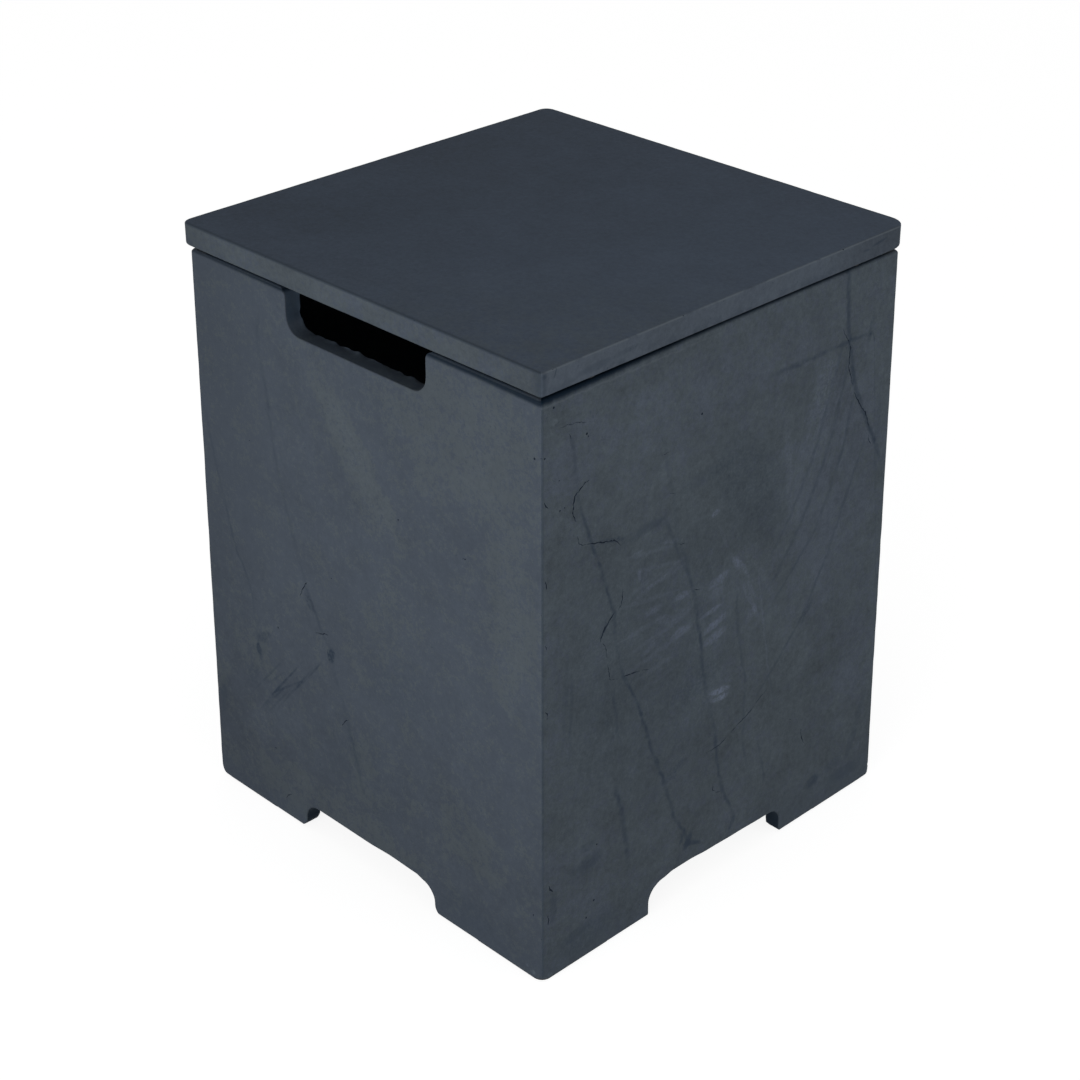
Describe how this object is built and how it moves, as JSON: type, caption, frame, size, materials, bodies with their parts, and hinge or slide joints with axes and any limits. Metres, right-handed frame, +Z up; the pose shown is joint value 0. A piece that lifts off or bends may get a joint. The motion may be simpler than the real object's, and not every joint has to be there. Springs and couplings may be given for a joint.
{
  "type": "propane tank cover table",
  "caption": "Square side table of cast concrete: a bottomless shell with hand slots and arched feet hides a gas cylinder under a loose slab lid.",
  "frame": {"origin": "the centre of the footprint, on the floor", "axes": "+Z up, along the table's height; -Y is the front, a wall with a hand slot; +X is a plain wall"},
  "size_m": [0.406, 0.406, 0.522],
  "materials": {
    "concrete": "matte",
    "rubber": "matte",
    "moulding": "matte",
    "screw": "satin",
    "insert": "satin"
  },
  "bodies": {
    "base": {"shell": "concrete", "foot_pad_front_left": "rubber", "foot_pad_front_right": "rubber", "foot_pad_back_right": "rubber", "foot_pad_back_left": "rubber"},
    "lid": {"lid": "concrete", "lid_bumper_front_left": "rubber", "lid_bumper_front_right": "rubber", "lid_bumper_back_right": "rubber", "lid_bumper_back_left": "rubber", "lid_cleat_front_left": "moulding", "lid_cleat_front_right": "moulding", "lid_cleat_back_right": "moulding", "lid_cleat_back_left": "moulding", "cleat_screw_front_left_a": "screw", "cleat_screw_front_left_b": "screw", "cleat_screw_front_right_a": "screw", "cleat_screw_front_right_b": "screw", "cleat_screw_back_right_a": "screw", "cleat_screw_back_right_b": "screw", "cleat_screw_back_left_a": "screw", "cleat_screw_back_left_b": "screw", "cleat_insert_front_left_a": "insert", "cleat_insert_front_left_b": "insert", "cleat_insert_front_right_a": "insert", "cleat_insert_front_right_b": "insert", "cleat_insert_back_right_a": "insert", "cleat_insert_back_right_b": "insert", "cleat_insert_back_left_a": "insert", "cleat_insert_back_left_b": "insert"}
  },
  "joints": [
    {"name": "lid_lift", "type": "slide", "parent": "base", "child": "lid", "axis": [0, 0, 1], "range_m": [0, 0.18]}
  ]
}
